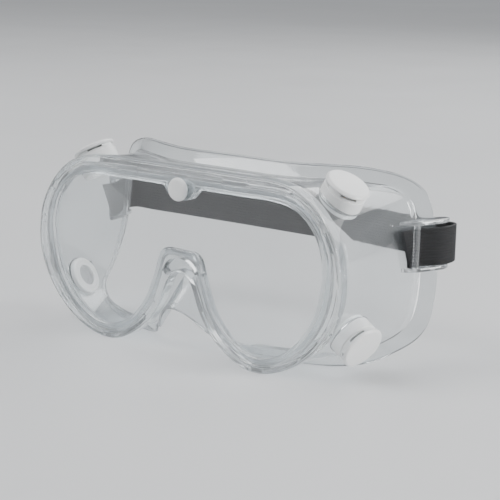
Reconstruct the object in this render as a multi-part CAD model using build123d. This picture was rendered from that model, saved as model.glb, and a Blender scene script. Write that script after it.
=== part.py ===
from build123d import *
import math
import os

# Safety goggles, millimetres. +X is the wearer's left, the lens faces -Y and +Z is up.
# The model is built with the front of the rim at Y = 0 and is moved back to its origin on export.

# Whole object
ORIGIN_Y = 36.7            # from the front of the rim back to the middle of the object
FLOOR_TRIM = 40.0          # depth of the block that cuts the underside level

# Rim and groove that hold the lens
LENS_THICK = 2.0
GROOVE_FRONT = 1.9         # front wall of the groove, from the rim's front
GROOVE_BACK = 4.1          # back wall of the groove
GROOVE_SHARE = 0.58        # groove depth as a share of the rim's width
LENS_SHARE = 0.55          # lens edge as a share of the rim's width
LENS_REACH_NOSE = 2.8      # lens edge from the rim's inner edge over the nose, where the rim is widest
NOSE_INNER_X, NOSE_INNER_Z = 12.6, 60.0     # the rim's inner edge is over the nose inside these
LIP_BACK = 5.8             # back face of the lip behind the lens
CHANNEL_DEPTH = 0.9        # channel between the two front beads
RIM_DEPTH = 6.5            # depth of the rim's outer side

# Side walls and the soft flange that meets the face
WALL_STEP = 1.2            # how far the wall sits inside the rim's outer side
WALL_START = 7.4
WALL_THICK = 1.8
FLANGE_THICK = 1.3
FLARE_OUT, FLARE_BACK = 6.5, 3.5      # crease to edge of the flange round the face
NOSE_CREASE_OUT, NOSE_CREASE_Y = 2.0, 8.6   # crease over the nose, from the rim's outer edge
NOSE_FROM, NOSE_TO = 30.0, 16.0       # half widths between which the flange turns forward

# Half outline from the top centre round to the nose:
# rim outer edge (x, z), rim inner edge (x, z), flange edge (x, y, z)
STATIONS = [
    ((0.0, 81.3), (0.0, 72.8), (0.0, 36.0, 83.3)),
    ((20.0, 81.3), (20.0, 72.8), (23.0, 37.2, 82.9)),
    ((38.0, 81.3), (38.0, 72.8), (43.0, 42.0, 83.0)),
    ((50.0, 81.0), (49.0, 72.8), (56.0, 48.0, 82.9)),
    ((60.0, 78.6), (57.0, 71.5), (66.5, 53.6, 81.6)),
    ((69.0, 72.8), (63.5, 68.2), (76.0, 58.5, 78.8)),
    ((76.2, 64.3), (69.0, 62.2), (84.0, 62.4, 71.4)),
    ((80.8, 55.0), (72.4, 54.3), (87.2, 63.8, 57.5)),
    ((82.4, 45.5), (73.4, 46.5), (88.9, 64.0, 43.5)),
    ((82.0, 35.5), (72.4, 37.8), (90.0, 62.0, 31.0)),
    ((79.0, 26.5), (70.2, 29.5), (90.4, 57.5, 20.0)),
    ((74.0, 18.3), (66.3, 22.0), (88.4, 50.7, 12.4)),
    ((67.5, 11.2), (61.0, 15.4), (83.2, 42.0, 7.5)),
    ((59.5, 5.4), (54.0, 10.0), (74.0, 35.5, 2.4)),
    ((50.5, 1.4), (47.5, 7.2), (61.0, 29.3, 0.0)),
    ((41.5, -0.2), (41.0, 6.5), (47.0, 24.2, -0.5)),
    ((33.0, 1.2), (35.0, 7.8), (34.0, 20.4, 0.0)),
    ((25.5, 5.2), (29.3, 10.5), (26.5, 16.8, 1.6)),
    ((19.0, 10.2), (24.0, 15.0), (21.3, 12.2, 4.2)),
    ((14.0, 16.2), (19.7, 20.3), (17.0, 7.2, 8.2)),
    ((10.4, 22.5), (16.6, 26.0), (13.4, 3.2, 12.2)),
    ((8.3, 28.0), (14.3, 32.0), (10.2, 0.4, 15.7)),
    ((6.6, 31.6), (12.3, 38.0), (7.2, -1.6, 18.3)),
    ((4.9, 33.9), (10.5, 43.2), (4.6, -3.2, 20.0)),
    ((2.9, 35.2), (7.0, 45.9), (2.6, -4.2, 20.9)),
    ((1.3, 35.6), (3.2, 46.15), (1.2, -4.65, 21.3)),
    ((0.0, 35.7), (0.0, 46.15), (0.0, -4.8, 21.4)),
]
# The rim's front: share of the width from the inner edge, depth
FRONT_PROFILE = [
    (0.0, 0.6), (0.08, 0.0), (0.26, 0.0), (0.34, CHANNEL_DEPTH),
    (0.62, CHANNEL_DEPTH), (0.70, 0.0), (0.92, 0.0), (1.0, 0.7), (1.0, RIM_DEPTH),
]

# Recess in the rim's front over the nose
RECESS_TOP = 42.2
RECESS_HALF = 9.0
RECESS_FOOT = 36.2
RECESS_FLOOR = 4.6
BEAD_HALF, BEAD_FOOT, BEAD_TOP = 7.0, 34.0, 37.0    # arc of the bead under the recess

# Snap stud at the top centre and the tabs it goes through
STUD_Z = 71.9
STUD_HEAD_R, STUD_HEAD_H = 5.0, 2.4
STUD_SHANK_R = 1.9
STUD_HOLE_R = 2.0
RETAINER_R, RETAINER_H = 4.5, 1.7
TAB_TOP_HALF, TAB_FOOT_HALF = 9.8, 4.0
TAB_TOP_Z, TAB_FOOT_Z = 74.0, 67.3
TAB_FRONT = 0.2            # front face of the tab before the lens
TAB_ROUND = 0.8
TAB_BACK = 6.9             # back face of the tab behind the lens, where the retainer sits

# Round vents: each axis point lies on the wall's outer surface
UPPER_VENT = ((66.6, 22.8, 73.9), (0.5, -0.03, 0.866))
LOWER_VENT = ((76.4, 20.0, 17.5), (0.86, -0.17, -0.48))
BOSS_R, BOSS_OUT, BOSS_IN = 10.6, -0.9, -3.2
VENT_HOLE_R = 6.8
FLANGE_ROOM, RING_ROOM = 0.4, 0.6     # room round the flange outside and round the ring inside
FIT = 0.05                 # running clearance between pieces that turn or slide
TUBE_OUT_R, TUBE_IN_R = VENT_HOLE_R - FIT, 4.9
VENT_FLANGE_R, VENT_FLANGE_H = 9.4, 4.4
NECK_R, NECK_H = 8.8, 1.8
CAP_R, CAP_H = 9.8, 2.3
CAP_TOP_ROUND, CAP_FOOT_ROUND = 1.1, 0.4
PLUG_LENGTH, PLUG_HOLLOW_R = 3.0, 3.7
RING_R, RING_H, RING_ROUND = 8.8, 2.4, 0.7
BAFFLE_H, BAFFLE_DEPTH, BAFFLE_HOLE_R = 0.8, 0.9, 1.6
AIR_SLOTS, AIR_SLOT_W = 4, 7.0

# Strap lugs on the side walls and the elastic strap
STRAP_WIDTH, STRAP_THICK = 16.4, 1.4
STRAP_Z = 42.5             # lower edge of the strap
TAIL_TOP_Y, TAIL_FOOT_Y = 43.5, 50.5  # the free end is cut at a slant
LUG_THICK = 1.6
LUG_LOW_Z, LUG_HIGH_Z = 40.7, 60.6    # undersides of the two shelves
LUG_TIP = [(92.0, 65.0), (91.0, 70.0), (87.4, 70.0), (82.2, 60.0)]
LUG_LOW_PLAN = [(80.5, 47.0), (84.0, 48.8), (87.2, 52.2)] + LUG_TIP
LUG_HIGH_PLAN = [(80.5, 45.8), (84.0, 48.0), (87.2, 52.0)] + LUG_TIP
POST_X, POST_Y, POST_W, POST_D = 85.4, 52.2, 2.0, 2.6
STRAP_PLAN = [(83.4, 43.5), (83.4, 54.5), (90.6, 64.1), (91.4, 71.2), (90.0, 76.9), (80.0, 76.0)]
STRAP_BENDS = [5.0, 5.0, 4.0, 3.0]
REAR_Y = 76.0
REAR_BOW = 1.5             # how far the middle of the strap lies behind its ends


def place(shape):
    return Pos(0, -ORIGIN_Y, 0) * shape


def save(shape, node):
    export_step(place(shape), f"parts/{node}.step")


def mirrored(shape):
    return mirror(shape, about=Plane.YZ)


def rim_axes(station):
    """Inner point, outward direction and width of the rim at a station."""
    outer = Vector(station[0][0], 0, station[0][1])
    inner = Vector(station[1][0], 0, station[1][1])
    return inner, (outer - inner).normalized(), (outer - inner).length


def crease_point(station, outward):
    """Where the wall turns into the flange."""
    outer = Vector(station[0][0], 0, station[0][1])
    edge = Vector(*station[2])
    face_crease = edge - outward * FLARE_OUT - Vector(0, FLARE_BACK, 0)
    nose_crease = outer + outward * NOSE_CREASE_OUT + Vector(0, NOSE_CREASE_Y, 0)
    turn = 0.0
    if edge.Z < 25.0:
        turn = min(1.0, max(0.0, (NOSE_FROM - edge.X) / (NOSE_FROM - NOSE_TO)))
        turn = turn * turn * (3.0 - 2.0 * turn)
    return face_crease + (nose_crease - face_crease) * turn


def inner_offset(start, end, outward, thickness):
    """Offset from the outer skin to the inner skin along a stretch of the section."""
    along_out = (end - start).dot(outward)
    along_back = end.Y - start.Y
    length = math.hypot(along_out, along_back)
    return (outward * -along_back + Vector(0, along_out, 0)) * (thickness / length)


def frame_section(station):
    """Closed section of the moulding, from the inner lip out to the flange and back."""
    inner, outward, width = rim_axes(station)

    def rim(share, depth):
        return inner + outward * (width * share) + Vector(0, depth, 0)

    wall = rim(1.0 - WALL_STEP / width, WALL_START)
    crease = crease_point(station, outward)
    edge = Vector(*station[2])
    wall_in = inner_offset(wall, crease, outward, WALL_THICK)
    flange_in = inner_offset(crease, edge, outward, FLANGE_THICK)
    points = [rim(share, depth) for share, depth in FRONT_PROFILE]
    points += [wall, crease, edge, edge + flange_in]
    points += [crease + (wall_in + flange_in) * 0.6, wall + wall_in]
    points += [rim(0.10, LIP_BACK), rim(0.06, GROOVE_BACK)]
    points += [rim(GROOVE_SHARE, GROOVE_BACK), rim(GROOVE_SHARE, GROOVE_FRONT), rim(0.0, GROOVE_FRONT)]
    return points


def half_spline(points):
    return Edge.make_spline([Vector(p) for p in points], tangents=[Vector(1, 0, 0), Vector(-1, 0, 0)])


def moulding():
    """The whole ring of the moulding, skinned through its sections."""
    sections = [frame_section(station) for station in STATIONS]
    rails = [half_spline(points) for points in zip(*sections)]
    skins = [Face.make_surface_from_curves(a, b) for a, b in zip(rails, rails[1:] + rails[:1])]
    shell = Shell(skins + [mirrored(skin) for skin in skins])
    return Solid(shell)


def lens_outline():
    points = []
    for station in STATIONS:
        inner, outward, width = rim_axes(station)
        over_nose = station[1][0] < NOSE_INNER_X and station[1][1] < NOSE_INNER_Z
        reach = LENS_REACH_NOSE if over_nose else LENS_SHARE * width
        points.append(inner + outward * reach)
    half = half_spline(points)
    return Wire([half] + mirrored(half).edges())


def slab(wire, y_front, depth):
    """Extrude an outline in the XZ plane backwards from y_front."""
    return extrude(Pos(0, y_front, 0) * Face(wire), amount=depth, dir=(0, 1, 0))


def xz_polygon(points, radius, y_front, depth):
    face = Plane.XZ * make_face(Polyline(*points, close=True))
    face = fillet(face.vertices(), radius)
    return extrude(Pos(0, y_front, 0) * face, amount=depth, dir=(0, 1, 0))


def stud_hole(radius):
    return Pos(0, 0, STUD_Z) * Rot(90, 0, 0) * Cylinder(radius, 40)


def tab(y_front, depth):
    """Tongue of the lip that hangs over the lens at the top centre."""
    top = [(-TAB_TOP_HALF, TAB_TOP_Z), (TAB_TOP_HALF, TAB_TOP_Z)]
    foot = [(TAB_FOOT_HALF, TAB_FOOT_Z), (-TAB_FOOT_HALF, TAB_FOOT_Z)]
    return xz_polygon(top + foot, TAB_ROUND, y_front, depth)


def nose_recess():
    """Crescent cut in the rim's front between the nose arch and the lower bead."""
    top = ThreePointArc((-RECESS_HALF, RECESS_FOOT), (0, RECESS_TOP), (RECESS_HALF, RECESS_FOOT))
    foot = ThreePointArc((BEAD_HALF, BEAD_FOOT), (0, BEAD_TOP), (-BEAD_HALF, BEAD_FOOT))
    sides = [Line(top @ 1, foot @ 0), Line(foot @ 1, top @ 0)]
    face = Plane.XZ * make_face([top, foot] + sides)
    return extrude(Pos(0, -1, 0) * face, amount=RECESS_FLOOR + 1, dir=(0, 1, 0))


def tube(radius, start, end):
    return Pos(0, 0, start) * Cylinder(radius, end - start, align=(Align.CENTER, Align.CENTER, Align.MIN))


def vent_plane(vent, side):
    (x, y, z), (ax, ay, az) = vent
    return Plane(origin=(x * side, y, z), z_dir=(ax * side, ay, az), x_dir=(0, 1, 0))


def vent_boss(plane):
    return plane.location * tube(BOSS_R, BOSS_IN, BOSS_OUT)


def vent_cut(plane):
    """The hole, and the flats that the vent's flange and ring sit on."""
    hole = tube(VENT_HOLE_R, -15, 12)
    inside = tube(RING_R + RING_ROOM, -9, BOSS_IN)
    outside = tube(VENT_FLANGE_R + FLANGE_ROOM, BOSS_OUT, 6)
    return plane.location * (hole + inside + outside)


def vent_base():
    seat = BOSS_OUT + FIT
    top = seat + VENT_FLANGE_H + NECK_H
    solid = tube(TUBE_OUT_R, BOSS_IN - RING_H, seat + 0.2) + tube(VENT_FLANGE_R, seat, seat + VENT_FLANGE_H)
    solid += tube(NECK_R, seat, top)
    solid -= tube(TUBE_IN_R, BOSS_IN - 9, top + 1)
    slot = Pos(0, 0, top) * Box(AIR_SLOT_W, 30, NECK_H)
    for i in range(AIR_SLOTS // 2):
        solid -= Rot(0, 0, i * 360 / AIR_SLOTS) * slot
    return solid


def vent_cap():
    foot = BOSS_OUT + FIT + VENT_FLANGE_H + NECK_H + FIT
    disc = tube(CAP_R, foot, foot + CAP_H)
    disc = fillet(disc.edges().sort_by(Axis.Z)[-1], CAP_TOP_ROUND)
    disc = fillet(disc.edges().sort_by(Axis.Z)[0], CAP_FOOT_ROUND)
    plug = tube(TUBE_IN_R - FIT, foot - PLUG_LENGTH, foot + 0.1) - tube(PLUG_HOLLOW_R, foot - 9, foot)
    return disc + plug


def vent_ring():
    top = BOSS_IN - FIT
    ring = tube(RING_R, top - RING_H, top) - tube(TUBE_OUT_R + 0.02, top - 9, top + 1)
    foot_edges = ring.edges().filter_by(GeomType.CIRCLE).sort_by(Axis.Z)[0:2]
    return fillet(foot_edges.sort_by(SortBy.RADIUS)[-1], RING_ROUND)


def vent_baffle():
    foot = BOSS_IN - BAFFLE_DEPTH
    return tube(TUBE_IN_R - 0.03, foot, foot + BAFFLE_H) - tube(BAFFLE_HOLE_R, foot - 1, foot + BAFFLE_H + 1)


def lens_stud():
    head = tube(STUD_HEAD_R, 0.05, STUD_HEAD_H)
    head = fillet(head.edges().sort_by(Axis.Z)[-1], 1.5)
    shank = tube(STUD_SHANK_R, -TAB_BACK - RETAINER_H - 0.6, 0.1)
    return Plane(origin=(0, 0, STUD_Z), z_dir=(0, -1, 0)).location * (head + shank)


def stud_retainer():
    disc = tube(RETAINER_R, 0, RETAINER_H) - tube(STUD_HOLE_R - 0.04, -1, 9)
    disc = fillet(disc.edges().sort_by(Axis.Z)[-2:].sort_by(SortBy.RADIUS)[-1], 0.5)
    return Plane(origin=(0, TAB_BACK + 0.05, STUD_Z), z_dir=(0, 1, 0)).location * disc


def lug():
    """Two shelves on the side wall, joined in front by the post that the strap goes behind."""
    solid = Pos(POST_X, POST_Y, LUG_LOW_Z + LUG_THICK / 2) * Box(
        POST_W, POST_D, LUG_HIGH_Z - LUG_LOW_Z, align=(Align.CENTER, Align.CENTER, Align.MIN)
    )
    for plan, z in ((LUG_LOW_PLAN, LUG_LOW_Z), (LUG_HIGH_PLAN, LUG_HIGH_Z)):
        face = fillet(make_face(Polyline(*plan, close=True)).vertices().sort_by(Axis.Y)[2:], 1.2)
        solid += Pos(0, 0, z) * extrude(face, amount=LUG_THICK)
    return solid


def strap_end():
    path = FilletPolyline(*STRAP_PLAN, radius=STRAP_BENDS)
    strap = Pos(0, 0, STRAP_Z) * extrude(trace(path, line_width=STRAP_THICK), amount=STRAP_WIDTH)
    corner = [(TAIL_TOP_Y, 0), (TAIL_TOP_Y, STRAP_WIDTH), (TAIL_FOOT_Y, 0)]
    slant = Pos(STRAP_PLAN[0][0] - 3, 0, STRAP_Z) * (Plane.YZ * make_face(Polyline(*corner, close=True)))
    return strap - extrude(slant, amount=6)


def headband():
    """The stretch of strap behind the goggles."""
    reach = STRAP_PLAN[-1][0] - 0.2
    path = ThreePointArc((-reach, REAR_Y), (0, REAR_Y + REAR_BOW), (reach, REAR_Y))
    return Pos(0, 0, STRAP_Z) * extrude(trace(path, line_width=STRAP_THICK), amount=STRAP_WIDTH)


def pvc_frame():
    body = moulding()
    vents = [vent_plane(vent, side) for vent in (UPPER_VENT, LOWER_VENT) for side in (1, -1)]
    for plane in vents:
        body += vent_boss(plane)
    body += [lug(), mirrored(lug())]
    body += [tab(TAB_FRONT, GROOVE_FRONT - TAB_FRONT), tab(GROOVE_BACK, TAB_BACK - GROOVE_BACK)]
    for plane in vents:
        body -= vent_cut(plane)
    body -= nose_recess()
    body -= stud_hole(STUD_HOLE_R)
    body -= Pos(0, 0, -FLOOR_TRIM / 2) * Box(300, 300, FLOOR_TRIM)
    return body


def main():
    os.makedirs("parts", exist_ok=True)
    save(pvc_frame(), "pvc_frame")
    save(slab(lens_outline(), GROOVE_FRONT + 0.1, LENS_THICK) - stud_hole(2.1), "lens")
    save(lens_stud(), "lens_stud")
    save(stud_retainer(), "stud_retainer")
    save(headband(), "headband")
    save(strap_end(), "strap_end_left")
    save(mirrored(strap_end()), "strap_end_right")
    pieces = {"base": vent_base(), "cap": vent_cap(), "ring": vent_ring(), "baffle": vent_baffle()}
    for level, vent in (("upper", UPPER_VENT), ("lower", LOWER_VENT)):
        for hand, side in (("left", 1), ("right", -1)):
            plane = vent_plane(vent, side)
            for piece, shape in pieces.items():
                save(plane.location * shape, f"vent_{piece}_{level}_{hand}")


main()
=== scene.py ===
import math

import bmesh
import bpy
import numpy as np
from mathutils import Matrix, Vector
from mathutils.geometry import delaunay_2d_cdt


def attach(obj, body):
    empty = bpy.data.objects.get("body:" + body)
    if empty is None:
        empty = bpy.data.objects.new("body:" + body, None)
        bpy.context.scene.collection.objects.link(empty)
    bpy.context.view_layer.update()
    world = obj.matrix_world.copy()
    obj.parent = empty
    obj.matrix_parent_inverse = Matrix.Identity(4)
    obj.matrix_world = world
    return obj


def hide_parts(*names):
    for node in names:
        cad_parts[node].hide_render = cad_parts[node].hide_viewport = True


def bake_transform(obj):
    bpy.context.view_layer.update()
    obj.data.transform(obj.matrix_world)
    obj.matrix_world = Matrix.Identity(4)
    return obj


# Safety goggles. Design sizes are in millimetres with the rim's front at Y = 0, as in the CAD source.
# metres() turns them into the row frame.

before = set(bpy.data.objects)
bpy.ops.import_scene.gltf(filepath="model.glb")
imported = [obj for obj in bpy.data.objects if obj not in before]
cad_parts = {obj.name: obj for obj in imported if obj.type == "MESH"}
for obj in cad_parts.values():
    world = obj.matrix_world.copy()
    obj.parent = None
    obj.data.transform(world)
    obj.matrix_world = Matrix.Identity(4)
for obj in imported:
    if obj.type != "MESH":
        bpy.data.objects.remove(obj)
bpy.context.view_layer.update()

MM = 0.001
ORIGIN_Y = 36.7            # from the front of the rim back to the middle of the object

# Camera, in degrees and metres
CAMERA_YAW, CAMERA_RISE, CAMERA_ROLL = 37.0, 12.34, 1.26
CAMERA_DISTANCE = 0.605
CAMERA_TARGET = Vector((0.03803, -ORIGIN_Y * MM, 0.0515))
CAMERA_LENS = 106.9
FLOOR_REACH = 9.0

# Half outline from the top centre round to the nose:
# rim outer edge (x, z), rim inner edge (x, z), flange edge (x, y, z)
STATIONS = [
    (0.0, 81.3, 0.0, 72.8, 0.0, 36.0, 83.3),
    (20.0, 81.3, 20.0, 72.8, 23.0, 37.2, 82.9),
    (38.0, 81.3, 38.0, 72.8, 43.0, 42.0, 83.0),
    (50.0, 81.0, 49.0, 72.8, 56.0, 48.0, 82.9),
    (60.0, 78.6, 57.0, 71.5, 66.5, 53.6, 81.6),
    (69.0, 72.8, 63.5, 68.2, 76.0, 58.5, 78.8),
    (76.2, 64.3, 69.0, 62.2, 84.0, 62.4, 71.4),
    (80.8, 55.0, 72.4, 54.3, 87.2, 63.8, 57.5),
    (82.4, 45.5, 73.4, 46.5, 88.9, 64.0, 43.5),
    (82.0, 35.5, 72.4, 37.8, 90.0, 62.0, 31.0),
    (79.0, 26.5, 70.2, 29.5, 90.4, 57.5, 20.0),
    (74.0, 18.3, 66.3, 22.0, 88.4, 50.7, 12.4),
    (67.5, 11.2, 61.0, 15.4, 83.2, 42.0, 7.5),
    (59.5, 5.4, 54.0, 10.0, 74.0, 35.5, 2.4),
    (50.5, 1.4, 47.5, 7.2, 61.0, 29.3, 0.0),
    (41.5, -0.2, 41.0, 6.5, 47.0, 24.2, -0.5),
    (33.0, 1.2, 35.0, 7.8, 34.0, 20.4, 0.0),
    (25.5, 5.2, 29.3, 10.5, 26.5, 16.8, 1.6),
    (19.0, 10.2, 24.0, 15.0, 21.3, 12.2, 4.2),
    (14.0, 16.2, 19.7, 20.3, 17.0, 7.2, 8.2),
    (10.4, 22.5, 16.6, 26.0, 13.4, 3.2, 12.2),
    (8.3, 28.0, 14.3, 32.0, 10.2, 0.4, 15.7),
    (6.6, 31.6, 12.3, 38.0, 7.2, -1.6, 18.3),
    (4.9, 33.9, 10.5, 43.2, 4.6, -3.2, 20.0),
    (2.9, 35.2, 7.0, 45.9, 2.6, -4.2, 20.9),
    (1.3, 35.6, 3.2, 46.15, 1.2, -4.65, 21.3),
    (0.0, 35.7, 0.0, 46.15, 0.0, -4.8, 21.4),
]
# Groove moulded in the rim's front: station number, inner share, outer share, depth
GROOVE_KEYS = [
    (0.00, 0.69, 0.75, 0.9), (0.14, 0.68, 0.74, 0.9), (0.15, 0.68, 0.74, 0.0), (0.20, 0.68, 0.74, 0.0),
    (0.21, 0.64, 0.70, 0.9), (1.18, 0.64, 0.70, 0.9), (1.19, 0.44, 0.50, 0.0), (1.22, 0.44, 0.50, 0.7),
    (1.80, 0.44, 0.50, 0.7), (1.83, 0.44, 0.50, 0.0), (1.86, 0.57, 0.62, 0.0), (1.89, 0.57, 0.62, 0.9),
    (3.74, 0.60, 0.66, 1.0), (3.86, 0.60, 0.82, 1.8), (5.50, 0.66, 0.84, 1.8), (5.66, 0.74, 0.80, 0.0),
    (6.00, 0.49, 0.80, 0.0), (6.02, 0.49, 0.80, 2.2), (9.00, 0.49, 0.79, 2.2), (12.0, 0.52, 0.77, 1.7),
    (14.0, 0.54, 0.74, 1.1), (16.0, 0.56, 0.70, 0.7), (18.3, 0.56, 0.70, 0.6), (18.32, 0.50, 0.78, 1.4),
    (19.6, 0.50, 0.76, 1.4), (19.62, 0.55, 0.68, 0.4), (21.0, 0.55, 0.65, 0.0), (26.0, 0.55, 0.65, 0.0),
]
RINGS_PER_SPAN = 9

# Section of the moulding
LENS_THICK = 2.0
GROOVE_FRONT, GROOVE_BACK = 1.9, 4.1
GROOVE_SHARE, LENS_SHARE = 0.44, 0.42
GROOVE_SHARE_NOSE, LENS_REACH_NOSE = 0.30, 2.8
LIP_BACK = 5.8
RIM_DEPTH = 6.5
BEAD_PROUD = 0.05          # the middle bead stands this far in front of the rim
WALL_STEP, WALL_START, WALL_THICK = 1.2, 7.4, 1.8
FLANGE_THICK = 1.3
FLARE_OUT, FLARE_BACK = 6.5, 3.5
NOSE_CREASE_OUT, NOSE_CREASE_Y = 2.0, 8.6
NOSE_FROM, NOSE_TO = 30.0, 16.0
WALL_STRIPS = 7            # strips across the side wall, for its slight waviness
WALL_WAVE = 0.06

# Snap stud at the top centre and the tabs it goes through
STUD_Z = 71.9
STUD_HEAD_R, STUD_HEAD_H = 5.0, 2.4
STUD_SHANK_R, STUD_HOLE_R = 1.9, 2.0
STUD_TIP = 0.6             # the shank's end behind the retainer
RETAINER_R, RETAINER_H = 4.5, 1.7
TAB_TOP_HALF, TAB_FOOT_HALF = 9.8, 4.0
TAB_TOP_Z, TAB_FOOT_Z = 74.0, 67.3
TAB_FRONT, TAB_BACK = 0.2, 6.9

# Recess over the nose
RECESS_HALF, RECESS_FOOT, RECESS_TOP, RECESS_FLOOR = 9.0, 36.2, 42.2, 4.6
BEAD_HALF, BEAD_FOOT, BEAD_TOP = 7.0, 34.0, 37.0

# Small marks of the mould: a ring beside the nose and nubs on the rim's outer side
PIN_MARK = (-11.0, 0.0, 33.6)
PIN_MARK_IN_R, PIN_MARK_OUT_R, PIN_MARK_DEPTH = 0.75, 1.05, 0.3
NUB_R, NUB_Y = 0.75, 3.2
NUB_PLACES = [(81.9, 50.0), (82.2, 47.0), (80.0, 30.0), (76.6, 22.2)]      # (x, z)

# Round vents, measured along their axis from the wall's outer surface
UPPER_VENT = ((66.6, 22.8, 73.9), (0.5, -0.03, 0.866))
LOWER_VENT = ((76.4, 20.0, 17.5), (0.86, -0.17, -0.48))
BOSS_R, BOSS_OUT, BOSS_IN = 9.3, -0.9, -3.2
SKIRT_R, SKIRT_H = 8.9, 1.5        # the collar's skirt hangs round the boss
VENT_HOLE_R, FIT = 6.8, 0.05
FLANGE_ROOM, RING_ROOM = 0.2, 0.6  # room round the collar outside and round the ring inside
TUBE_OUT_R, TUBE_IN_R = VENT_HOLE_R - FIT, 4.9
VENT_FLANGE_R, VENT_FLANGE_H = 9.4, 4.4
NECK_R, NECK_H = 8.8, 1.8
CAP_R, CAP_H, CAP_DOME = 9.8, 2.3, 0.6
PLUG_LENGTH, PLUG_WALL = 3.0, 1.15
SLIT_HALF, SLIT_H = 3.5, 1.0
SLIT_TURNS = (math.pi / 4, math.pi * 3 / 4)
RING_R, RING_H = 8.8, 2.4
BAFFLE_H, BAFFLE_DEPTH, BAFFLE_DISH_R = 0.8, 0.9, 2.6
VENTS = [
    (f"{level}_{hand}", vent, side)
    for level, vent in (("upper", UPPER_VENT), ("lower", LOWER_VENT))
    for hand, side in (("left", 1), ("right", -1))
]

# Strap lugs on the side walls and the elastic strap
STRAP_WIDTH, STRAP_THICK, STRAP_Z = 16.4, 1.4, 42.5
TAIL_TOP_Y, TAIL_FOOT_Y = 43.5, 50.5
LUG_THICK = 1.6
LUG_LOW_Z, LUG_HIGH_Z = 40.7, 60.6
LUG_TIP = [(92.0, 65.0), (91.0, 70.0), (87.4, 70.0), (82.2, 60.0)]
LUG_LOW_PLAN = [(80.5, 47.0), (84.0, 48.8), (87.2, 52.2)] + LUG_TIP
LUG_HIGH_PLAN = [(80.5, 45.8), (84.0, 48.0), (87.2, 52.0)] + LUG_TIP
POST_X, POST_Y, POST_W, POST_D = 85.4, 52.2, 2.0, 2.6
STRAP_PLAN = [(83.4, 43.5), (83.4, 54.5), (90.6, 64.1), (91.4, 71.2), (90.0, 76.9), (79.0, 76.0)]
STRAP_BENDS = [5.0, 5.0, 4.0, 3.0]
REAR_END_X, REAR_END_Y, REAR_MIDDLE_Y = 79.0, 76.0, 77.5
STRAP_STEP = 0.6           # distance between the strap's rings
STRAP_RIBS = 13
RIB_HEIGHT = 0.26
TAIL_SLANT = 6.0           # length over which the slanted cut fades out


# ---------------------------------------------------------------- mesh helpers

def metres(points):
    """Design millimetres to the row frame in metres."""
    return (np.asarray(points, float) - (0.0, ORIGIN_Y, 0.0)) * MM


def mesh_object(name, points, faces, smooth_angle=40.0):
    """A mesh object from design points, with outward normals and edges sharper than smooth_angle kept."""
    mesh = bpy.data.meshes.new(name)
    mesh.from_pydata([tuple(p) for p in metres(points)], [], faces)
    obj = bpy.data.objects.new(name, mesh)
    bpy.context.scene.collection.objects.link(obj)
    finish_mesh(obj, smooth_angle)
    return obj


def finish_mesh(obj, smooth_angle):
    work = bmesh.new()
    work.from_mesh(obj.data)
    bmesh.ops.dissolve_degenerate(work, dist=0.001 * MM, edges=work.edges)
    bmesh.ops.recalc_face_normals(work, faces=work.faces)
    work.to_mesh(obj.data)
    work.free()
    obj.data.shade_smooth()
    obj.data.set_sharp_from_angle(angle=math.radians(smooth_angle))


def joined(name, objects):
    """One object from several closed meshes that stand clear of each other."""
    work = bmesh.new()
    for obj in objects:
        work.from_mesh(obj.data)
        bpy.data.objects.remove(obj)
    mesh = bpy.data.meshes.new(name)
    work.to_mesh(mesh)
    work.free()
    whole = bpy.data.objects.new(name, mesh)
    bpy.context.scene.collection.objects.link(whole)
    return whole


def boolean(obj, tool, operation, smooth_angle=40.0):
    """Adds or cuts tool into obj, and removes tool."""
    change = obj.modifiers.new("boolean", "BOOLEAN")
    change.operation = operation
    change.solver = "EXACT"
    change.object = tool
    graph = bpy.context.evaluated_depsgraph_get()
    mesh = bpy.data.meshes.new_from_object(obj.evaluated_get(graph))
    obj.modifiers.clear()
    obj.data = mesh
    bpy.data.objects.remove(tool)
    finish_mesh(obj, smooth_angle)
    return obj


def bevelled(obj, width, segments=2, smooth_angle=40.0):
    """Rounds every edge of a closed flat-sided mesh."""
    work = bmesh.new()
    work.from_mesh(obj.data)
    edges = [e for e in work.edges if e.calc_face_angle(0.0) > math.radians(20)]
    bmesh.ops.bevel(
        work, geom=edges, offset=width * MM, segments=segments,
        profile=0.5, affect="EDGES", clamp_overlap=True,
    )
    work.to_mesh(obj.data)
    work.free()
    finish_mesh(obj, smooth_angle)
    return obj


def prism(name, outline, low, high, across="z", bevel=0.0):
    """Closed prism over an outline: (x, y) raised along z, or (x, z) taken back along y."""
    count = len(outline)
    if across == "z":
        points = [(x, y, low) for x, y in outline] + [(x, y, high) for x, y in outline]
    else:
        points = [(x, low, z) for x, z in outline] + [(x, high, z) for x, z in outline]
    faces = [tuple(range(count)), tuple(range(2 * count - 1, count - 1, -1))]
    faces += [(i, (i + 1) % count, (i + 1) % count + count, i + count) for i in range(count)]
    obj = mesh_object(name, points, faces)
    return bevelled(obj, bevel) if bevel else obj


def rounded_line(points, radii, steps=4):
    """The points of a line with its inner corners rounded off."""
    points = [np.asarray(p, float) for p in points]
    line = [points[0]]
    for before, corner, after, radius in zip(points, points[1:], points[2:], radii):
        to_before, to_after = before - corner, after - corner
        reach = min(radius, 0.45 * np.linalg.norm(to_before), 0.45 * np.linalg.norm(to_after))
        start = corner + to_before / np.linalg.norm(to_before) * reach
        end = corner + to_after / np.linalg.norm(to_after) * reach
        for i in range(steps + 1):
            t = i / steps
            line.append(start * (1 - t) ** 2 + corner * 2 * t * (1 - t) + end * t * t)
    return line + [points[-1]]


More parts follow.
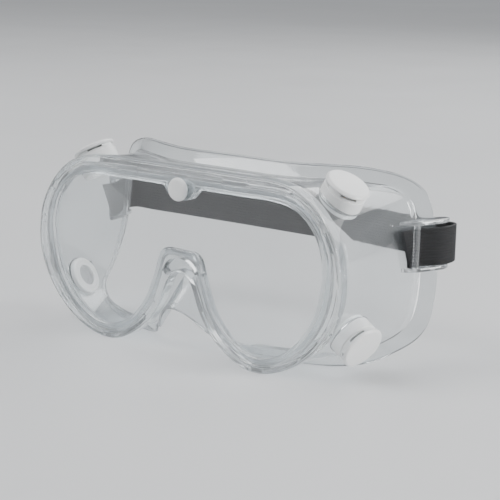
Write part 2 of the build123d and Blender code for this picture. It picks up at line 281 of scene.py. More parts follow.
def lathe(name, profile, matrix, segments=96, bevel=0.25, smooth_angle=50.0):
    """A closed solid of revolution: profile is (radius, height) from axis to axis, or a closed ring profile.
    bevel is one corner radius, or one for each corner."""
    on_axis = profile[0][0] == 0.0
    corners = profile[1:-1] if on_axis else profile
    radii = bevel if isinstance(bevel, list) else [bevel] * len(corners)
    if on_axis:
        line = rounded_line(profile, radii, 3)
    else:
        line = rounded_line([profile[-1]] + list(profile) + [profile[0]], radii, 3)[1:-1]
    rows = [p for p in line if p[0] > 0.0]
    points = [
        (r * math.cos(a), r * math.sin(a), h)
        for r, h in rows
        for a in (math.tau * i / segments for i in range(segments))
    ]
    faces = []
    spans = len(rows) - 1 if on_axis else len(rows)
    for k in range(spans):
        a, b = k * segments, ((k + 1) % len(rows)) * segments
        faces += [(a + i, a + (i + 1) % segments, b + (i + 1) % segments, b + i) for i in range(segments)]
    if on_axis:
        points += [(0.0, 0.0, line[0][1]), (0.0, 0.0, line[-1][1])]
        last = (len(rows) - 1) * segments
        faces += [((i + 1) % segments, i, len(points) - 2) for i in range(segments)]
        faces += [(last + i, last + (i + 1) % segments, len(points) - 1) for i in range(segments)]
    placed = [matrix @ Vector(p) for p in points]
    return mesh_object(name, placed, faces, smooth_angle)


def axis_matrix(origin, axis, side=1, x_axis=(0.0, 1.0, 0.0)):
    """Placement with z along axis, mirrored to the -X half when side is -1."""
    z = Vector((axis[0] * side, axis[1], axis[2])).normalized()
    x = (Vector(x_axis) - z * z.dot(Vector(x_axis))).normalized()
    y = z.cross(x)
    turn = Matrix((x, y, z)).transposed().to_4x4()
    return Matrix.Translation((origin[0] * side, origin[1], origin[2])) @ turn


# ---------------------------------------------------------------- materials

class Nodes:
    """Small helper for building a material's nodes."""

    def __init__(self, name):
        self.material = bpy.data.materials.new(name)
        self.material.use_nodes = True
        self.tree = self.material.node_tree
        self.tree.nodes.clear()
        self.output = self.add("ShaderNodeOutputMaterial")

    def add(self, kind, **values):
        node = self.tree.nodes.new(kind)
        for key, value in values.items():
            if hasattr(node, key) and key not in node.inputs:
                setattr(node, key, value)
            else:
                node.inputs[key].default_value = value
        return node

    def link(self, source, target):
        self.tree.links.new(source, target)

    def noise(self, scale, detail=4.0, roughness=0.55, stretch=(1.0, 1.0, 1.0), coordinates="Object"):
        place = self.add("ShaderNodeTexCoord")
        mapping = self.add("ShaderNodeMapping")
        mapping.inputs["Scale"].default_value = stretch
        self.link(place.outputs[coordinates], mapping.inputs["Vector"])
        noise = self.add("ShaderNodeTexNoise", Scale=scale, Detail=detail, Roughness=roughness)
        self.link(mapping.outputs["Vector"], noise.inputs["Vector"])
        return noise.outputs["Fac"]

    def ramp(self, source, low, high, low_at=0.3, high_at=0.7):
        """A number that goes from low to high as source goes from low_at to high_at."""
        node = self.add("ShaderNodeMapRange")
        node.inputs["From Min"].default_value = low_at
        node.inputs["From Max"].default_value = high_at
        node.inputs["To Min"].default_value = low
        node.inputs["To Max"].default_value = high
        self.link(source, node.inputs["Value"])
        return node.outputs["Result"]

    def colours(self, source, low, high, low_at=0.3, high_at=0.7):
        node = self.add("ShaderNodeValToRGB")
        node.color_ramp.elements[0].position = low_at
        node.color_ramp.elements[0].color = (*low, 1.0)
        node.color_ramp.elements[1].position = high_at
        node.color_ramp.elements[1].color = (*high, 1.0)
        self.link(source, node.inputs["Fac"])
        return node.outputs["Color"]

    def bump(self, source, distance, strength=1.0, below=None):
        node = self.add("ShaderNodeBump", Strength=strength, Distance=distance)
        self.link(source, node.inputs["Height"])
        if below is not None:
            self.link(below, node.inputs["Normal"])
        return node.outputs["Normal"]


def clear_material(name, colours, shade, ior, roughness, dimple, dimple_scale, clear):
    """Clear plastic. Light that makes shadows passes straight through it, dimmed by shade."""
    nodes = Nodes(name)
    glass = nodes.add("ShaderNodeBsdfPrincipled")
    glass.inputs["Transmission Weight"].default_value = clear
    glass.inputs["IOR"].default_value = ior
    haze = nodes.noise(38.0, detail=5.0)
    tint = nodes.colours(nodes.noise(24.0, detail=3.0), *colours)
    nodes.link(tint, glass.inputs["Base Color"])
    nodes.link(nodes.ramp(haze, *roughness), glass.inputs["Roughness"])
    nodes.link(nodes.bump(nodes.noise(dimple_scale, detail=3.0), dimple), glass.inputs["Normal"])
    passing = nodes.add("ShaderNodeBsdfTransparent")
    passing.inputs["Color"].default_value = (*shade, 1.0)
    path = nodes.add("ShaderNodeLightPath")
    mix = nodes.add("ShaderNodeMixShader")
    nodes.link(path.outputs["Is Shadow Ray"], mix.inputs[0])
    nodes.link(glass.outputs[0], mix.inputs[1])
    nodes.link(passing.outputs[0], mix.inputs[2])
    nodes.link(mix.outputs[0], nodes.output.inputs["Surface"])
    return nodes.material


def moulded_material(name, colours, roughness, glow, coat):
    """Satin injection-moulded plastic with faint cloudiness and a fine tool texture."""
    nodes = Nodes(name)
    shader = nodes.add("ShaderNodeBsdfPrincipled")
    shader.inputs["IOR"].default_value = 1.49
    shader.inputs["Subsurface Weight"].default_value = glow
    shader.inputs["Subsurface Radius"].default_value = (0.0012, 0.0011, 0.001)
    shader.inputs["Subsurface Scale"].default_value = 1.0
    shader.inputs["Coat Weight"].default_value = coat
    shader.inputs["Coat Roughness"].default_value = 0.22
    cloud = nodes.noise(60.0, detail=5.0)
    nodes.link(nodes.colours(cloud, *colours), shader.inputs["Base Color"])
    nodes.link(nodes.ramp(nodes.noise(260.0, detail=4.0), *roughness), shader.inputs["Roughness"])
    coarse = nodes.bump(nodes.noise(420.0, detail=2.0), 0.00006)
    fine = nodes.bump(nodes.noise(2600.0, detail=3.0), 0.00002, below=coarse)
    nodes.link(fine, shader.inputs["Normal"])
    nodes.link(shader.outputs[0], nodes.output.inputs["Surface"])
    return nodes.material


def elastic_material():
    """Black woven elastic: fine cross threads between the lengthwise ribs, with a faint fuzz."""
    nodes = Nodes("woven_elastic")
    shader = nodes.add("ShaderNodeBsdfPrincipled")
    shader.inputs["Sheen Weight"].default_value = 0.12
    shader.inputs["Sheen Roughness"].default_value = 0.5
    shader.inputs["Sheen Tint"].default_value = (0.6, 0.62, 0.66, 1.0)
    shader.inputs["Specular IOR Level"].default_value = 0.45
    place = nodes.add("ShaderNodeUVMap")
    threads = nodes.add("ShaderNodeTexWave", bands_direction="X", Scale=330.0, Distortion=0.6)
    threads.inputs["Detail"].default_value = 1.0
    nodes.link(place.outputs[0], threads.inputs["Vector"])
    rows = nodes.add("ShaderNodeTexWave", bands_direction="Y", Scale=250.0, Distortion=0.4)
    nodes.link(place.outputs[0], rows.inputs["Vector"])
    fuzz = nodes.noise(900.0, detail=4.0)
    nodes.link(nodes.colours(fuzz, (0.009, 0.009, 0.0095), (0.028, 0.028, 0.03)), shader.inputs["Base Color"])
    nodes.link(nodes.ramp(fuzz, 0.42, 0.7), shader.inputs["Roughness"])
    weave = nodes.bump(threads.outputs["Fac"], 0.00012)
    knit = nodes.bump(rows.outputs["Fac"], 0.00008, below=weave)
    nodes.link(nodes.bump(fuzz, 0.00005, below=knit), shader.inputs["Normal"])
    nodes.link(shader.outputs[0], nodes.output.inputs["Surface"])
    return nodes.material


def floor_material():
    nodes = Nodes("studio_floor")
    shader = nodes.add("ShaderNodeBsdfPrincipled")
    shader.inputs["Specular IOR Level"].default_value = 0.35
    pale = nodes.colours(nodes.noise(3.0), (0.66, 0.665, 0.67), (0.69, 0.695, 0.70))
    nodes.link(pale, shader.inputs["Base Color"])
    nodes.link(nodes.ramp(nodes.noise(9.0), 0.42, 0.5), shader.inputs["Roughness"])
    nodes.link(shader.outputs[0], nodes.output.inputs["Surface"])
    return nodes.material


MATERIALS = {
    "clear_pvc": clear_material(
        "soft_clear_pvc", colours=((0.76, 0.79, 0.805), (0.84, 0.865, 0.875)), shade=(0.80, 0.81, 0.82),
        ior=1.53, roughness=(0.02, 0.07), dimple=0.00002, dimple_scale=150.0, clear=0.93,
    ),
    "clear_polycarbonate": clear_material(
        "clear_sheet", colours=((0.88, 0.90, 0.91), (0.92, 0.935, 0.94)), shade=(0.86, 0.87, 0.88),
        ior=1.585, roughness=(0.004, 0.03), dimple=0.000002, dimple_scale=60.0, clear=1.0,
    ),
    "white_plastic": moulded_material(
        "white_moulded", colours=((0.80, 0.805, 0.80), (0.87, 0.875, 0.87)), roughness=(0.30, 0.44),
        glow=0.12, coat=0.25,
    ),
    "grey_plastic": moulded_material(
        "grey_moulded", colours=((0.40, 0.41, 0.42), (0.50, 0.51, 0.52)), roughness=(0.40, 0.55),
        glow=0.0, coat=0.1,
    ),
    "black_elastic": elastic_material(),
}


def piece(obj, slot_name, body, *nodes):
    """Gives a finished piece its material, its body and the CAD nodes it stands for."""
    obj.data.materials.clear()
    obj.data.materials.append(MATERIALS[slot_name])
    if body:
        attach(obj, body)
    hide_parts(*nodes)
    return obj


# ---------------------------------------------------------------- moulded frame

def closed_curve(points, knots, at):
    """Periodic cubic curve through points at knots, whose last knot closes the loop."""
    count = len(points)
    gaps = np.diff(knots)
    slopes = (np.roll(points, -1, 0) - points) / gaps[:, None]
    matrix = np.zeros((count, count))
    for i in range(count):
        matrix[i, i - 1] += gaps[i - 1]
        matrix[i, i] += 2 * (gaps[i - 1] + gaps[i])
        matrix[i, (i + 1) % count] += gaps[i]
    bends = np.linalg.solve(matrix, 6 * (slopes - np.roll(slopes, 1, 0)))
    k = np.clip(np.searchsorted(knots, at, side="right") - 1, 0, count - 1)
    u, gap = (at - knots[k])[:, None], gaps[k][:, None]
    here, there = bends[k], np.roll(bends, -1, 0)[k]
    first = slopes[k] - gap * (2 * here + there) / 6
    return points[k] + first * u + here / 2 * u**2 + (there - here) / (6 * gap) * u**3


def outline_rings():
    """Station numbers of the half outline's rings, and the seven outline values at each."""
    half = np.array(STATIONS)
    mirror = half[-2:0:-1] * (-1, 1, -1, 1, -1, 1, 1)
    loop = np.vstack([half, mirror])
    steps = np.linalg.norm(np.roll(loop, -1, 0)[:, :2] - loop[:, :2], axis=1)
    knots = np.concatenate([[0], np.cumsum(steps)])
    numbers = np.linspace(0, len(half) - 1, (len(half) - 1) * RINGS_PER_SPAN + 1)
    keys = np.array([key[0] for key in GROOVE_KEYS])
    numbers = np.unique(np.round(np.concatenate([numbers, keys]), 4))
    at = np.interp(numbers, np.arange(len(half)), knots[: len(half)])
    return numbers, closed_curve(loop, knots, at)


def smoothstep(t):
    t = np.clip(t, 0.0, 1.0)
    return t * t * (3 - 2 * t)


def unit(vectors):
    return vectors / np.linalg.norm(vectors, axis=1, keepdims=True)


def section_rails(numbers, values):
    """Corner rails of the moulding's section, each with its rounding radius."""
    zero = np.zeros(len(values))
    outer = np.stack([values[:, 0], zero, values[:, 1]], 1)
    inner = np.stack([values[:, 2], zero, values[:, 3]], 1)
    edge = values[:, 4:7]
    outward = unit(outer - inner)
    width = np.linalg.norm(outer - inner, axis=1)
    back = np.array((0.0, 1.0, 0.0))

    def rim(share, depth):
        share, depth = np.broadcast_to(share, zero.shape), np.broadcast_to(depth, zero.shape)
        return inner + outward * (width * share)[:, None] + back * depth[:, None]

    turn = smoothstep((NOSE_FROM - np.abs(edge[:, 0])) / (NOSE_FROM - NOSE_TO)) * (edge[:, 2] < 25.0)
    face_crease = edge - outward * FLARE_OUT - back * FLARE_BACK
    nose_crease = outer + outward * NOSE_CREASE_OUT + back * NOSE_CREASE_Y
    crease = face_crease + (nose_crease - face_crease) * turn[:, None]
    wall = rim(1.0 - WALL_STEP / width, WALL_START)

    def inner_offset(start, end, thickness):
        along_out = ((end - start) * outward).sum(1)
        along_back = end[:, 1] - start[:, 1]
        length = np.hypot(along_out, along_back)
        offset = outward * -along_back[:, None] + back * along_out[:, None]
        return offset * (thickness / length)[:, None]

    wall_in = inner_offset(wall, crease, WALL_THICK)
    flange_in = inner_offset(crease, edge, FLANGE_THICK)
    wall_out = wall_in * (-0.22 / WALL_THICK)
    keys = np.array(GROOVE_KEYS)
    groove_in, groove_out, groove_deep = (np.interp(numbers, keys[:, 0], keys[:, i]) for i in (1, 2, 3))
    lens_groove = GROOVE_SHARE + (GROOVE_SHARE_NOSE - GROOVE_SHARE) * smoothstep((numbers - 20.5) / 2.0)

    rails = [
        (rim(0.0, 0.55), 0.35), (rim(0.05, 0.0), 0.35), (rim(0.16, 0.0), 0.3), (rim(0.20, 0.22), 0.3),
        (rim(groove_in - 0.09, 0.22), 0.25), (rim(groove_in - 0.06, -BEAD_PROUD), 0.25),
        (rim(groove_in, -BEAD_PROUD), 0.2),
        (rim(groove_in + 0.012, groove_deep), 0.25), (rim(groove_out - 0.012, groove_deep), 0.25),
        (rim(groove_out, 0.0), 0.2), (rim(0.90, 0.0), 0.3), (rim(0.93, 0.35), 0.2), (rim(0.985, 0.35), 0.3),
        (rim(1.0, 1.0), 0.3), (rim(1.0, RIM_DEPTH), 0.5), (wall, 0.5),
    ]
    for i in range(1, WALL_STRIPS):
        t = i / WALL_STRIPS
        rails.append((wall + (crease - wall) * t, 0.0))
    rails += [
        (wall + (crease - wall) * 0.93, 0.3), (wall + (crease - wall) * 0.95 + wall_out, 0.3),
        (crease + wall_out * 1.5, 1.4),
        (crease + (edge - crease) * 0.84, 0.4), (edge - (edge - crease) * 0.10 + flange_in * -0.16, 0.4),
        (edge + flange_in * -0.12, 0.55), (edge + flange_in, 0.55),
        (edge - (edge - crease) * 0.12 + flange_in, 0.5),
        (crease + (wall_in + flange_in) * 0.6, 1.2),
    ]
    inside_start, inside_end = crease + (wall_in + flange_in) * 0.6, wall + wall_in
    for i in range(1, WALL_STRIPS):
        t = i / WALL_STRIPS
        rails.append((inside_start + (inside_end - inside_start) * t, 0.0))
    rails += [
        (inside_end, 0.8), (rim(0.10, LIP_BACK), 0.5), (rim(0.06, GROOVE_BACK), 0.3),
        (rim(lens_groove, GROOVE_BACK), 0.3), (rim(lens_groove, GROOVE_FRONT), 0.3),
        (rim(0.0, GROOVE_FRONT), 0.3),
    ]
    return rails


def rounded_rails(rails, steps=3):
    """Every rail replaced by the few rails that round its corner, as an array of rings by points."""
    lines = []
    for i, (corner, radius) in enumerate(rails):
        if radius == 0.0:
            lines.append(corner)
            continue
        to_before = rails[i - 1][0] - corner
        to_after = rails[(i + 1) % len(rails)][0] - corner
        before, after = np.linalg.norm(to_before, axis=1), np.linalg.norm(to_after, axis=1)
        reach = np.minimum(radius, 0.45 * np.minimum(before, after))[:, None]
        start = corner + to_before / np.maximum(before, 1e-6)[:, None] * reach
        end = corner + to_after / np.maximum(after, 1e-6)[:, None] * reach
        for k in range(steps + 1):
            t = k / steps
            lines.append(start * (1 - t) ** 2 + corner * 2 * t * (1 - t) + end * t * t)
    return np.stack(lines, 1)


def waved(points):
    """Soft moulded sheet is never quite flat: small smooth waves behind the rim."""
    x, y, z = points[..., 0], points[..., 1], points[..., 2]
    share = smoothstep((y - WALL_START - 2.0) / 8.0)[..., None]
    wave = np.sin(0.21 * x + 0.9) * np.sin(0.17 * y + 0.4 * np.sin(0.13 * z))
    wave = wave + 0.5 * np.sin(0.33 * z + 0.11 * y)
    outward = np.stack([np.sign(x) * np.abs(x) / 90.0, 0 * y, (z - 42.0) / 42.0], -1)
    return points + outward * wave[..., None] * WALL_WAVE * share


def moulding():
    numbers, values = outline_rings()
    half = waved(rounded_rails(section_rails(numbers, values)))
    other = half[-2:0:-1] * (-1, 1, 1)
    rings = np.vstack([half, other])
    around, along = rings.shape[1], rings.shape[0]
    faces = []
    for i in range(along):
        a, b = i * around, ((i + 1) % along) * around
        faces += [(a + k, b + k, b + (k + 1) % around, a + (k + 1) % around) for k in range(around)]
    return mesh_object("clear_frame", rings.reshape(-1, 3), faces)


def tab(name, front, back):
    """Tongue of the lip at the top centre, before or behind the lens."""
    middle = (0.0, TAB_TOP_Z)
    corners = [
        (TAB_TOP_HALF, TAB_TOP_Z), (TAB_FOOT_HALF, TAB_FOOT_Z),
        (-TAB_FOOT_HALF, TAB_FOOT_Z), (-TAB_TOP_HALF, TAB_TOP_Z),
    ]
    closed = rounded_line([middle] + corners + [middle], [1.0, 1.6, 1.6, 1.0], 5)
    return prism(name, [tuple(p) for p in closed[:-1]], front, back, across="y", bevel=0.25)


def lug(side):
    """Two shelves on the side wall, joined in front by the post that the strap goes behind."""
    shelves = []
    for plan, low in ((LUG_LOW_PLAN, LUG_LOW_Z), (LUG_HIGH_PLAN, LUG_HIGH_Z)):
        line = rounded_line(plan + plan[:1], [0.6, 1.4, 2.5, 2.0, 2.0, 0.5], 4)
        outline = [(side * x, y) for x, y in line[:-1]]
        shelves.append(prism("lug_shelf", outline, low, low + LUG_THICK, bevel=0.3))
    corners = [(-1, -1), (1, -1), (1, 1), (-1, 1)]
    outline = [(side * POST_X + x * POST_W / 2, POST_Y + y * POST_D / 2) for x, y in corners]
    post = prism("lug_post", outline, LUG_LOW_Z + LUG_THICK / 2, LUG_HIGH_Z + LUG_THICK / 2, bevel=0.4)
    whole, upper = shelves
    for other in (upper, post):
        boolean(whole, other, "UNION")
    return whole


def arc_points(half, foot, top, count=24):
    """Points of an arc from (half, foot) over (0, top) to (-half, foot)."""
    rise = top - foot
    radius = (half * half + rise * rise) / (2 * rise)
    reach = math.asin(half / radius)
    return [
        (radius * math.sin(a), top - radius + radius * math.cos(a))
        for a in np.linspace(reach, -reach, count)
    ]


def recess_tool():
    foot = arc_points(BEAD_HALF, BEAD_FOOT, BEAD_TOP)
    top = arc_points(RECESS_HALF, RECESS_FOOT, RECESS_TOP)[::-1]
    return prism("recess", foot + top, -1.0, RECESS_FLOOR, across="y")


def mould_mark_tool():
    """Shallow ring left by a mould pin beside the nose."""
    profile = [
        (PIN_MARK_IN_R, -1.0), (PIN_MARK_OUT_R, -1.0),
        (PIN_MARK_OUT_R, PIN_MARK_DEPTH), (PIN_MARK_IN_R, PIN_MARK_DEPTH),
    ]
    return lathe("pin_mark", profile, axis_matrix(PIN_MARK, (0, 1, 0), x_axis=(1, 0, 0)), 40, 0.02)


def nub(side, x, z):
    """Small moulding nub on the rim's outer side."""
    centre = axis_matrix((x, NUB_Y, z), (1.0, 0.0, 0.0), side)
    return lathe("nub", [(0.0, -1.5), (NUB_R, -1.5), (NUB_R, 0.45), (0.0, 0.6)], centre, 20, 0.3)


def vent_boss(placed):
    profile = [(0.0, BOSS_IN), (BOSS_R, BOSS_IN), (BOSS_R, BOSS_OUT), (0.0, BOSS_OUT)]
    return lathe("boss", profile, placed, 96, 0.4)


def vent_cut(placed):
    """The hole for the tube, with room for the ring inside and for the collar and its skirt outside."""
    ring, flange, hem = RING_R + RING_ROOM, VENT_FLANGE_R + FLANGE_ROOM, BOSS_OUT - SKIRT_H
    profile = [
        (0.0, -15.0), (VENT_HOLE_R, -15.0), (VENT_HOLE_R, -9.0), (ring, -9.0), (ring, BOSS_IN),
        (VENT_HOLE_R, BOSS_IN), (VENT_HOLE_R, BOSS_OUT), (SKIRT_R, BOSS_OUT), (SKIRT_R, hem),
        (flange, hem), (flange, 6.0), (0.0, 6.0),
    ]
    return lathe("vent_cut", profile, placed, 96, 0.01)


def clear_frame():
    body = moulding()
    added, cut = [], []
    for _, (origin, axis), side in VENTS:
        placed = axis_matrix(origin, axis, side)
        added.append(vent_boss(placed))
        cut.append(vent_cut(placed))
    for side in (1, -1):
        added.append(lug(side))
        added += [nub(side, x, z) for x, z in NUB_PLACES]
    added += [tab("front_tab", TAB_FRONT, GROOVE_FRONT), tab("back_tab", GROOVE_BACK, TAB_BACK)]
    cut += [recess_tool(), mould_mark_tool()]
    cut.append(lathe(
        "stud_hole", [(0.0, -5.0), (STUD_HOLE_R, -5.0), (STUD_HOLE_R, 12.0), (0.0, 12.0)],
        axis_matrix((0, 0, STUD_Z), (0, 1, 0), x_axis=(1, 0, 0)), 48, 0.01,
    ))
    cut.append(prism("floor_trim", [(-150, -60), (150, -60), (150, 150), (-150, 150)], -40.0, 0.0))
    boolean(body, joined("added", added), "UNION")
    boolean(body, joined("cut", cut), "DIFFERENCE")
    return body


# ---------------------------------------------------------------- lens, stud and vents

def lens():
    numbers, values = outline_rings()
    outer = values[:, 0:2]
    inner = values[:, 2:4]
    width = np.linalg.norm(outer - inner, axis=1)
    over_nose = smoothstep((numbers - 20.5) / 2.0)
    reach = LENS_SHARE * width + (LENS_REACH_NOSE - LENS_SHARE * width) * over_nose
    half = inner + (outer - inner) / width[:, None] * reach[:, None]
    loop = np.vstack([half, half[-2:0:-1] * (-1, 1)])
    hole_r = STUD_HOLE_R + 0.1
    turns = np.linspace(0.0, math.tau, 48, endpoint=False)
    hole = np.stack([hole_r * np.cos(turns), STUD_Z + hole_r * np.sin(turns)], 1)
    return sheet_with_hole("lens_sheet", loop, hole, GROOVE_FRONT + 0.1, LENS_THICK)


def sheet_with_hole(name, loop, hole, front, thick):
    """Flat sheet across y inside loop, with a round hole, from a triangulation of both outlines."""
    outline = [Vector(p) for p in np.vstack([loop, hole])]
    count, around = len(loop), len(hole)
    rings = [list(range(count)), list(range(count, count + around))]
    flat, _, triangles, _, _, _ = delaunay_2d_cdt(outline, [], rings, 1, 1e-6)
    kept = [tuple(triangle) for triangle in triangles if min(triangle) < count]
    size = len(flat)
    points = [(p.x, front, p.y) for p in flat] + [(p.x, front + thick, p.y) for p in flat]
    faces = kept + [tuple(i + size for i in reversed(triangle)) for triangle in kept]
    for start, length in ((0, count), (count, around)):
        ring = [start + i for i in range(length)]
        faces += [(a, b, b + size, a + size) for a, b in zip(ring, ring[1:] + ring[:1])]
    sheet = mesh_object(name, points, faces)
    sheet.data.shade_flat()
    return sheet


def stud_pieces():
    placed = axis_matrix((0, 0, STUD_Z), (0, -1, 0), x_axis=(1, 0, 0))
    tip = -TAB_BACK - RETAINER_H - STUD_TIP
    head = [
        (0.0, tip), (STUD_SHANK_R - 0.3, tip), (STUD_SHANK_R, tip + 0.8), (STUD_SHANK_R, FIT),
        (STUD_HEAD_R, FIT), (STUD_HEAD_R, 1.2), (STUD_HEAD_R * 0.86, 2.0),
        (STUD_HEAD_R * 0.5, STUD_HEAD_H - 0.1), (0.0, STUD_HEAD_H),
    ]
    piece(lathe("stud", head, placed, 72, 0.5), "white_plastic", "lens_stud", "lens_stud")
    back = axis_matrix((0, TAB_BACK + FIT, STUD_Z), (0, 1, 0), x_axis=(1, 0, 0))
    hole = STUD_HOLE_R - 0.04
    disc = [
        (hole, 0.0), (RETAINER_R, 0.0), (RETAINER_R, RETAINER_H - 0.5), (RETAINER_R - 0.5, RETAINER_H),
        (3.0, RETAINER_H), (2.7, RETAINER_H - 0.35), (hole, RETAINER_H - 0.35),
    ]
    piece(lathe("retainer", disc, back, 72, 0.2), "white_plastic", "goggle_body", "stud_retainer")


def vent_base(name, placed):
    """Tube through the wall, with a collar and its skirt outside and a neck that has air slits."""
    seat = BOSS_OUT + FIT
    shoulder = seat + VENT_FLANGE_H
    top = shoulder + NECK_H
    foot = BOSS_IN - RING_H
    hem = seat - SKIRT_H
    profile = [
        (TUBE_IN_R, foot), (TUBE_OUT_R, foot), (TUBE_OUT_R, seat), (SKIRT_R + FIT, seat),
        (SKIRT_R + FIT, hem), (VENT_FLANGE_R, hem), (VENT_FLANGE_R - 0.1, shoulder),
        (NECK_R, shoulder), (NECK_R, top), (TUBE_IN_R, top),
    ]
    base = lathe(name, profile, placed, 96, [0.2, 0.2, 0.02, 0.02, 0.1, 0.2, 0.35, 0.15, 0.15, 0.15])
    for turn in SLIT_TURNS:
        bar = [(-SLIT_HALF, -15.0), (SLIT_HALF, -15.0), (SLIT_HALF, 15.0), (-SLIT_HALF, 15.0)]
        cos, sin = math.cos(turn), math.sin(turn)
        corners = [(x * cos - y * sin, x * sin + y * cos) for x, y in bar]
        points = [placed @ Vector((x, y, z)) for z in (top - SLIT_H, top + 1.0) for x, y in corners]
        faces = [(0, 1, 2, 3), (7, 6, 5, 4)] + [(i, (i + 1) % 4, (i + 1) % 4 + 4, i + 4) for i in range(4)]
        boolean(base, mesh_object("slot_tool", points, faces), "DIFFERENCE")
    return base


def vent_cap(name, placed):
    """Disc with a thin rounded edge and a slight dome, on the hollow plug that holds it in the tube."""
    foot = BOSS_OUT + FIT + VENT_FLANGE_H + NECK_H + FIT
    top = foot + CAP_H
    plug_r = TUBE_IN_R - FIT
    profile = [
        (0.0, foot), (plug_r - PLUG_WALL, foot), (plug_r - PLUG_WALL, foot - PLUG_LENGTH),
        (plug_r, foot - PLUG_LENGTH), (plug_r, foot),
        (CAP_R - 1.0, foot), (CAP_R, foot + 0.6), (CAP_R, foot + 1.1), (CAP_R - 0.8, top - CAP_DOME * 0.6),
        (CAP_R * 0.6, top - 0.12), (0.0, top),
    ]
    return lathe(name, profile, placed, 120, [0.2, 0.2, 0.2, 0.2, 0.5, 0.4, 0.3, 0.8, 2.0])


def vent_ring(name, placed):
    """Ring on the tube's inner end, with a fine groove round it."""
    top = BOSS_IN - FIT
    foot = top - RING_H
    hole = TUBE_OUT_R + 0.02
    profile = [
        (hole, foot), (RING_R - 0.7, foot), (RING_R, foot + 0.7),
        (RING_R, foot + 1.3), (RING_R - 0.15, foot + 1.4),
        (RING_R - 0.15, foot + 1.6), (RING_R, foot + 1.7), (RING_R, top), (hole, top),
    ]
    return lathe(name, profile, placed, 96, 0.15)


def vent_baffle(name, placed):
    """Disc across the tube, slightly dished inside."""
    low = BOSS_IN - BAFFLE_DEPTH
    edge = TUBE_IN_R - 0.03
    profile = [
        (0.0, low + 0.25), (BAFFLE_DISH_R, low + 0.25), (BAFFLE_DISH_R + 0.3, low), (edge, low),
        (edge, low + BAFFLE_H), (0.0, low + BAFFLE_H),
    ]
    return lathe(name, profile, placed, 72, 0.1)


def vents():
    for name, (origin, axis), side in VENTS:
        placed = axis_matrix(origin, axis, side)
        body = f"vent_{name}"
        piece(vent_base(f"base_{name}", placed), "white_plastic", body, f"vent_base_{name}")
        piece(vent_ring(f"ring_{name}", placed), "white_plastic", body, f"vent_ring_{name}")
        piece(vent_baffle(f"baffle_{name}", placed), "grey_plastic", body, f"vent_baffle_{name}")
        piece(vent_cap(f"cap_{name}", placed), "white_plastic", f"vent_cap_{name}", f"vent_cap_{name}")


# ---------------------------------------------------------------- strap

def strap_path():
    """Dense line of one half of the strap, from its free tail round the lug to the middle behind."""
    bow = REAR_MIDDLE_Y - REAR_END_Y
    rear = [(x, REAR_END_Y + bow * (1 - (x / REAR_END_X) ** 2)) for x in np.linspace(REAR_END_X, 0.0, 28)]
    bends = rounded_line(STRAP_PLAN, STRAP_BENDS, 12)
    line = np.array([tuple(p) for p in bends[:-1]] + rear)
    gaps = np.linalg.norm(np.diff(line, axis=0), axis=1)
    along = np.concatenate([[0], np.cumsum(gaps)])
    even = np.arange(0.0, along[-1], STRAP_STEP)
    even = np.append(even, along[-1])
    return even, np.stack([np.interp(even, along, line[:, i]) for i in (0, 1)], 1)


def strap_half(name, side):
    """Flat woven elastic with lengthwise ribs on both faces, as one closed mesh."""
    along, line = strap_path()
    tangent = np.gradient(line, axis=0)
    tangent /= np.linalg.norm(tangent, axis=1, keepdims=True)
    normal = np.stack([tangent[:, 1], -tangent[:, 0]], 1)
    lanes = STRAP_RIBS * 6 + 1
    share = np.linspace(0.0, 1.0, lanes)
    rib = np.abs(np.sin(share * math.pi * STRAP_RIBS)) ** 0.7 * RIB_HEIGHT
    selvedge = np.clip(np.minimum(share, 1 - share) / 0.03, 0.0, 1.0) ** 0.5
    half_thick = (STRAP_THICK / 2 - RIB_HEIGHT * 0.8) * (0.55 + 0.45 * selvedge) + rib
    outer_face = list(zip(half_thick, share))
    section = outer_face + [(-height, across) for height, across in outer_face[::-1]]
    count = len(section)
    points, uvs = [], []
    for k, (place, out) in enumerate(zip(line, normal)):
        slant = max(0.0, 1.0 - along[k] / TAIL_SLANT)
        for height, across in section:
            shift = slant * (TAIL_FOOT_Y - TAIL_TOP_Y) * (1.0 - across)
            x, y = place + out * height
            points.append((side * x, y + shift, STRAP_Z + STRAP_WIDTH * across))
            uvs.append((along[k] / 100.0, across * STRAP_WIDTH / 100.0))
    rows = len(line)
    faces = []
    for k in range(rows - 1):
        a, b = k * count, (k + 1) * count
        faces += [(a + i, a + (i + 1) % count, b + (i + 1) % count, b + i) for i in range(count)]
    faces += end_faces(0, lanes, count) + end_faces((rows - 1) * count, lanes, count)
    strap = mesh_object(name, points, faces, 60.0)
    layer = strap.data.uv_layers.new(name="along")
    corner_vertices = np.zeros(len(strap.data.loops), int)
    strap.data.loops.foreach_get("vertex_index", corner_vertices)
    layer.data.foreach_set("uv", np.array(uvs)[corner_vertices].ravel())
    return strap


def end_faces(start, lanes, count):
    """Closes one end of the strap between its two faces."""
    last = start + count - 1
    return [(start + i, start + i + 1, last - i - 1, last - i) for i in range(lanes - 1)]


def straps():
    for hand, side in (("left", 1), ("right", -1)):
        half = strap_half(f"strap_{hand}", side)
        nodes = [f"strap_end_{hand}"] + (["headband"] if hand == "left" else [])
        piece(half, "black_elastic", None, *nodes)
        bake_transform(half)


# ---------------------------------------------------------------- studio

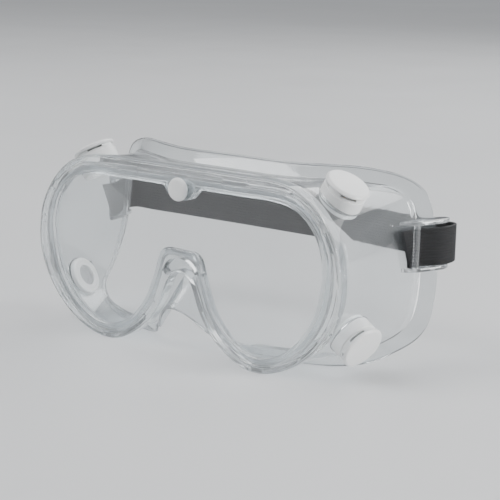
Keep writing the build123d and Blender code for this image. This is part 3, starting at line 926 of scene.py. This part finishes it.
def make_camera():
    yaw, rise, roll = (math.radians(a) for a in (CAMERA_YAW, CAMERA_RISE, CAMERA_ROLL))
    back = Vector((math.sin(yaw) * math.cos(rise), -math.cos(yaw) * math.cos(rise), math.sin(rise)))
    right = Vector((math.cos(yaw), math.sin(yaw), 0.0))
    level = Matrix((right, back.cross(right), back)).transposed()
    turn = level @ Matrix.Rotation(roll, 3, "Z")
    data = bpy.data.cameras.new("camera")
    data.lens = CAMERA_LENS
    data.sensor_width = 36.0
    data.clip_start, data.clip_end = 0.01, 50.0
    camera = bpy.data.objects.new("camera", data)
    camera.matrix_world = Matrix.Translation(CAMERA_TARGET + back * CAMERA_DISTANCE) @ turn.to_4x4()
    bpy.context.scene.collection.objects.link(camera)
    bpy.context.scene.camera = camera


def area_light(name, place, aim, width, height, power, colour=(1.0, 1.0, 1.0)):
    data = bpy.data.lights.new(name, "AREA")
    data.shape = "RECTANGLE"
    data.size, data.size_y = width, height
    data.energy = power
    data.color = colour
    light = bpy.data.objects.new(name, data)
    light.location = place
    light.rotation_euler = (Vector(aim) - Vector(place)).to_track_quat("-Z", "Y").to_euler()
    bpy.context.scene.collection.objects.link(light)


def sky_gradient(tree):
    """Studio surround: pale overhead, darker round the horizon, so that clear edges read."""
    background = tree.nodes["Background"]
    place = tree.nodes.new("ShaderNodeTexCoord")
    split = tree.nodes.new("ShaderNodeSeparateXYZ")
    ramp = tree.nodes.new("ShaderNodeValToRGB")
    ramp.color_ramp.elements[0].position = 0.02
    ramp.color_ramp.elements[0].color = (0.24, 0.245, 0.255, 1.0)
    ramp.color_ramp.elements[1].position = 0.75
    ramp.color_ramp.elements[1].color = (0.85, 0.87, 0.90, 1.0)
    tree.links.new(place.outputs["Generated"], split.inputs[0])
    tree.links.new(split.outputs["Z"], ramp.inputs["Fac"])
    tree.links.new(ramp.outputs["Color"], background.inputs["Color"])
    background.inputs["Strength"].default_value = 0.7


def studio():
    """Camera, pale floor, three soft lights and the surround."""
    make_camera()
    floor_mesh = bpy.data.meshes.new("floor")
    reach = FLOOR_REACH
    corners = [(-reach, -reach, 0.0), (reach, -reach, 0.0), (reach, reach, 0.0), (-reach, reach, 0.0)]
    floor_mesh.from_pydata(corners, [], [(0, 1, 2, 3)])
    floor = bpy.data.objects.new("floor", floor_mesh)
    floor_mesh.materials.append(floor_material())
    bpy.context.scene.collection.objects.link(floor)
    area_light("key", (-0.9, -0.9, 1.7), (0.0, 0.0, 0.04), 1.3, 1.3, 36.0)
    area_light("right", (1.1, 0.38, 0.26), (0.02, 0.0, 0.05), 0.35, 0.5, 14.0)
    area_light("rim", (0.1, 1.3, 1.0), (0.0, 0.0, 0.05), 1.6, 1.0, 14.0)
    world = bpy.data.worlds.new("studio")
    world.use_nodes = True
    sky_gradient(world.node_tree)
    bpy.context.scene.world = world


studio()
piece(clear_frame(), "clear_pvc", "goggle_body", "pvc_frame")
piece(lens(), "clear_polycarbonate", "goggle_body", "lens")
stud_pieces()
vents()
straps()
